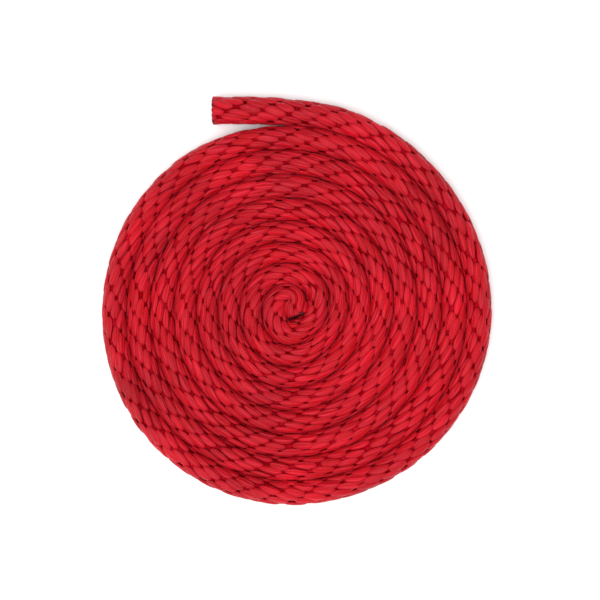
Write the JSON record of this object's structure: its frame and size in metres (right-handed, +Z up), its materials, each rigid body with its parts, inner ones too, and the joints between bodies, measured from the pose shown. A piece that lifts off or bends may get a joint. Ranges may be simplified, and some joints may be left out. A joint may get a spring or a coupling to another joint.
{
  "type": "coiled dock line",
  "caption": "Solid-braid dock line laid down as a flat, neat spiral coil, with a short straight tail and both ends cut and fused.",
  "frame": {"origin": "middle of the coil's flat underside, on the surface that it lies on", "axes": "+Z up from that surface; +Y towards the side where the tail runs, and +X to the right seen from above with the tail at the top, so that the tail's free end points along -X"},
  "size_m": [0.1938, 0.2015, 0.0127],
  "materials": {
    "rope": "red multifilament yarn, soft sheen",
    "fused_end": "melted yarn, dull"
  },
  "bodies": {
    "root": {"rope_coil": "rope", "rope_tail": "rope", "outer_fused_end": "fused_end", "inner_fused_end": "fused_end"}
  },
  "joints": []
}
